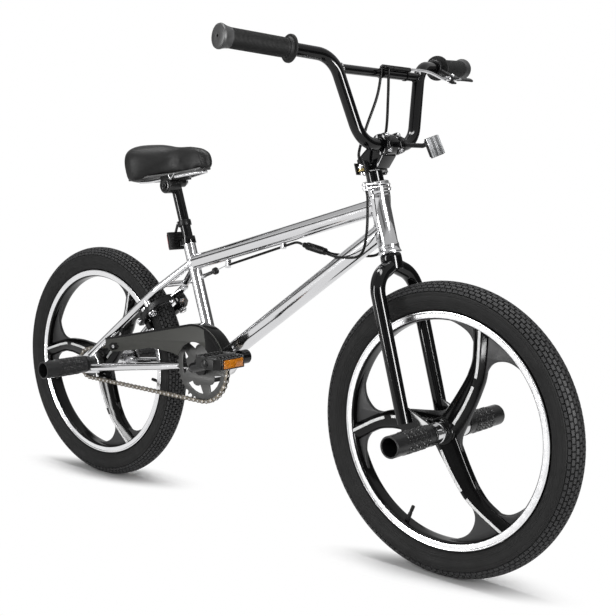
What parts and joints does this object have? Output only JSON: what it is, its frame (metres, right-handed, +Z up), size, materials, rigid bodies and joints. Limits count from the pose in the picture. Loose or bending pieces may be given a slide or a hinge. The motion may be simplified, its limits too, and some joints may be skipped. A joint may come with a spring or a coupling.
{
  "type": "bmx bike",
  "caption": "Freestyle BMX bike with a steel diamond frame, moulded swept-spoke wheels, axle pegs, chain drive with guard, and a rear brake whose cable passes through a steering rotor",
  "frame": {"origin": "on the ground, midway between the axles", "axes": "+X forward, +Y to the rider's left, +Z up"},
  "size_m": [1.451, 0.7012, 0.9295],
  "materials": {
    "chrome": "bright plating over steel",
    "black_paint": "gloss black paint over steel",
    "wheel_plastic": "moulded black nylon with a bright machined rim band",
    "tyre_rubber": "matt black tread rubber",
    "grip_rubber": "soft ribbed rubber",
    "black_plastic": "moulded satin black",
    "drive_steel": "dark oiled steel",
    "rail_steel": "bright steel wire and forged parts",
    "guard_plastic": "grey moulded guard",
    "saddle_vinyl": "black grained vinyl",
    "saddle_shell": "dark grey moulding",
    "amber_lens": "prismatic amber reflector",
    "clear_lens": "prismatic clear reflector",
    "red_lens": "prismatic red reflector"
  },
  "bodies": {
    "frame": {"frame": "chrome", "headset_lower_cup": "chrome", "headset_upper_cup": "chrome", "rotor_lower_plate": "chrome", "seat_clamp": "black_paint", "bb_cup_right": "chrome", "bb_cup_left": "chrome", "rear_axle": "chrome", "rear_peg_right": "black_paint", "rear_peg_left": "black_paint", "chain_guard": "guard_plastic", "chain": "drive_steel", "lower_cable": "black_plastic", "rear_cable": "black_plastic", "cable_adjuster": "black_plastic", "straddle_cable": "rail_steel"},
    "steering": {"fork": "black_paint", "headset_locknut": "black_paint", "stem": "black_paint", "stem_face_plate": "black_paint", "handlebar": "black_paint", "grip_right": "grip_rubber", "grip_left": "grip_rubber", "lever_bracket": "black_plastic", "rotor_upper_plate": "black_paint", "upper_cable": "black_plastic", "front_reflector_bracket": "black_plastic", "front_reflector": "clear_lens", "front_axle": "chrome", "front_peg_right": "black_paint", "front_peg_left": "black_paint"},
    "rotor_bearing": {"rotor_bearing": "chrome"},
    "brake_lever": {"brake_lever": "rail_steel"},
    "front_wheel": {"front_wheel": "wheel_plastic", "front_tyre": "tyre_rubber", "front_hub_collar_right": "chrome", "front_hub_collar_left": "chrome"},
    "rear_wheel": {"rear_wheel": "wheel_plastic", "rear_tyre": "tyre_rubber", "rear_hub_collar": "chrome"},
    "freewheel": {"freewheel_sprocket": "drive_steel"},
    "crank": {"crank": "black_paint", "chainring": "drive_steel"},
    "pedal_right": {"pedal_right": "black_plastic", "pedal_right_front_reflector": "amber_lens", "pedal_right_rear_reflector": "amber_lens"},
    "pedal_left": {"pedal_left": "black_plastic", "pedal_left_front_reflector": "amber_lens", "pedal_left_rear_reflector": "amber_lens"},
    "seat": {"seat_post": "black_paint", "rear_reflector_bracket": "black_plastic", "rear_reflector": "red_lens", "saddle_clamp": "black_plastic", "saddle_rails": "rail_steel", "saddle_base": "saddle_shell", "saddle_cushion": "saddle_vinyl"},
    "brake_arm_right": {"brake_arm_right": "black_plastic", "brake_pad_right": "grip_rubber"},
    "brake_arm_left": {"brake_arm_left": "black_plastic", "brake_pad_left": "grip_rubber"}
  },
  "joints": [
    {"name": "steering_turn", "type": "hinge", "parent": "frame", "child": "steering", "pos_m": [0.3323, 0, 0.56854], "axis": [-0.2756, 0, 0.9613], "continuous": true},
    {"name": "front_wheel_spin", "type": "hinge", "parent": "steering", "child": "front_wheel", "pos_m": [0.4655, 0, 0.26], "axis": [0, 1, 0], "continuous": true},
    {"name": "rear_wheel_spin", "type": "hinge", "parent": "frame", "child": "rear_wheel", "pos_m": [-0.4655, 0, 0.26], "axis": [0, 1, 0], "continuous": true},
    {"name": "crank_turn", "type": "hinge", "parent": "frame", "child": "crank", "pos_m": [-0.10179, 0, 0.3015], "axis": [0, 1, 0], "continuous": true, "deforming": ["chain"]},
    {"name": "freewheel_turn", "type": "hinge", "parent": "frame", "child": "freewheel", "pos_m": [-0.4655, 0, 0.26], "axis": [0, 1, 0], "continuous": true},
    {"name": "pedal_right_spin", "type": "hinge", "parent": "crank", "child": "pedal_right", "pos_m": [0.05681, 0, 0.34698], "axis": [0, 1, 0], "continuous": true},
    {"name": "pedal_left_spin", "type": "hinge", "parent": "crank", "child": "pedal_left", "pos_m": [-0.2604, 0, 0.25602], "axis": [0, 1, 0], "continuous": true},
    {"name": "seat_height", "type": "slide", "parent": "frame", "child": "seat", "axis": [-0.3256, 0, 0.9455], "range_m": [-0.005, 0.02]},
    {"name": "lever_pull", "type": "hinge", "parent": "steering", "child": "brake_lever", "pos_m": [0.31508, 0.20611, 0.87859], "axis": [0.5093, 0.0568, 0.8587], "range_deg": [0, 11.1], "stiffness_Nm_per_rad": 0.3},
    {"name": "rotor_lift", "type": "slide", "parent": "steering", "child": "rotor_bearing", "axis": [-0.2756, 0, 0.9613], "range_m": [0, 0.0066], "deforming": ["straddle_cable"]},
    {"name": "brake_arm_right_turn", "type": "hinge", "parent": "frame", "child": "brake_arm_right", "pos_m": [-0.26306, -0.043, 0.40767], "axis": [0.6428, 0, -0.766], "range_deg": [0, 2.5]},
    {"name": "brake_arm_left_turn", "type": "hinge", "parent": "frame", "child": "brake_arm_left", "pos_m": [-0.26306, 0.043, 0.40767], "axis": [-0.6428, 0, 0.766], "range_deg": [0, 2.5]}
  ],
  "couplings": [
    {"joint": "freewheel_turn", "follows": "crank_turn", "ratio": 2.25},
    {"joint": "lever_pull", "follows": "rotor_lift", "rad_per_m": 29.089},
    {"joint": "brake_arm_right_turn", "follows": "rotor_lift", "rad_per_m": 6.0822},
    {"joint": "brake_arm_left_turn", "follows": "rotor_lift", "rad_per_m": 6.0822}
  ]
}
